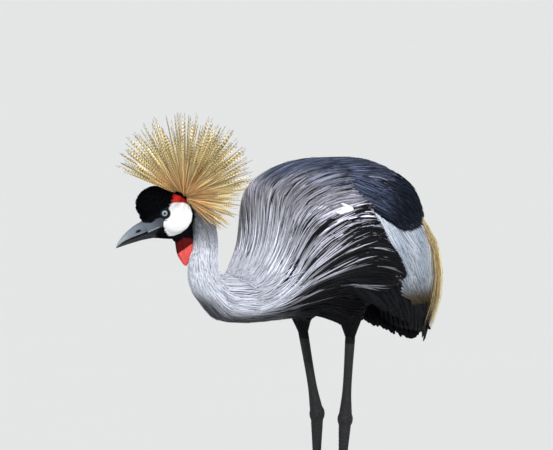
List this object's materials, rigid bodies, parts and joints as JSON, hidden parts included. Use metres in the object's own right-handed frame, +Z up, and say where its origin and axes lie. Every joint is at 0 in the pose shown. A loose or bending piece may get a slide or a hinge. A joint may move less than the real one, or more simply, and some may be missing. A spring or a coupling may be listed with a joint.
{
  "type": "grey crowned crane",
  "caption": "Still life-size model of a grey crowned crane that stands with its neck lowered and its head turned back.",
  "frame": {"origin": "on the floor, under the middle of the bounding box", "axes": "+Z up, the bird's body faces -X, its left side is towards -Y"},
  "size_m": [0.5838, 0.2434, 0.6908],
  "materials": {
    "bill_slate": "slate-grey horn, a little glossy",
    "cheek_white": "bare chalk-white skin",
    "claw_black": "black horn",
    "crest_gold": "stiff straw-gold bristles",
    "iris_blue": "clear wet eye with a pale blue-grey iris",
    "leg_black": "black scaly skin",
    "velvet_black": "short black velvety feathers",
    "lid_dark": "bare dark grey skin",
    "neck_grey": "soft pale lavender-grey feathers",
    "skin_red": "bare bright red skin",
    "tail_black": "black tail feathers",
    "thigh_black": "short blackish feathers",
    "mantle_grey": "matte slate-grey lance-shaped feathers",
    "wattle_red": "bare folded red skin",
    "wing_white": "white coverts and straw-gold plumes over black flight feathers"
  },
  "bodies": {
    "root": {"bill_lower": "bill_slate", "bill_upper": "bill_slate", "cheek_left": "cheek_white", "cheek_right": "cheek_white", "claw_hind_left": "claw_black", "claw_hind_right": "claw_black", "claw_inner_left": "claw_black", "claw_inner_right": "claw_black", "claw_middle_left": "claw_black", "claw_middle_right": "claw_black", "claw_outer_left": "claw_black", "claw_outer_right": "claw_black", "crest": "crest_gold", "eye_left": "iris_blue", "eye_right": "iris_blue", "foot_left": "leg_black", "foot_right": "leg_black", "head": "velvet_black", "lid_left": "lid_dark", "lid_right": "lid_dark", "neck_lower": "neck_grey", "neck_middle": "neck_grey", "neck_upper": "neck_grey", "red_patch_left": "skin_red", "red_patch_right": "skin_red", "shank_left": "leg_black", "shank_right": "leg_black", "tail": "tail_black", "tarsus_left": "leg_black", "tarsus_right": "leg_black", "thigh_left": "thigh_black", "thigh_right": "thigh_black", "torso": "mantle_grey", "wattle": "wattle_red", "wing_left": "wing_white", "wing_right": "wing_white"}
  },
  "joints": []
}
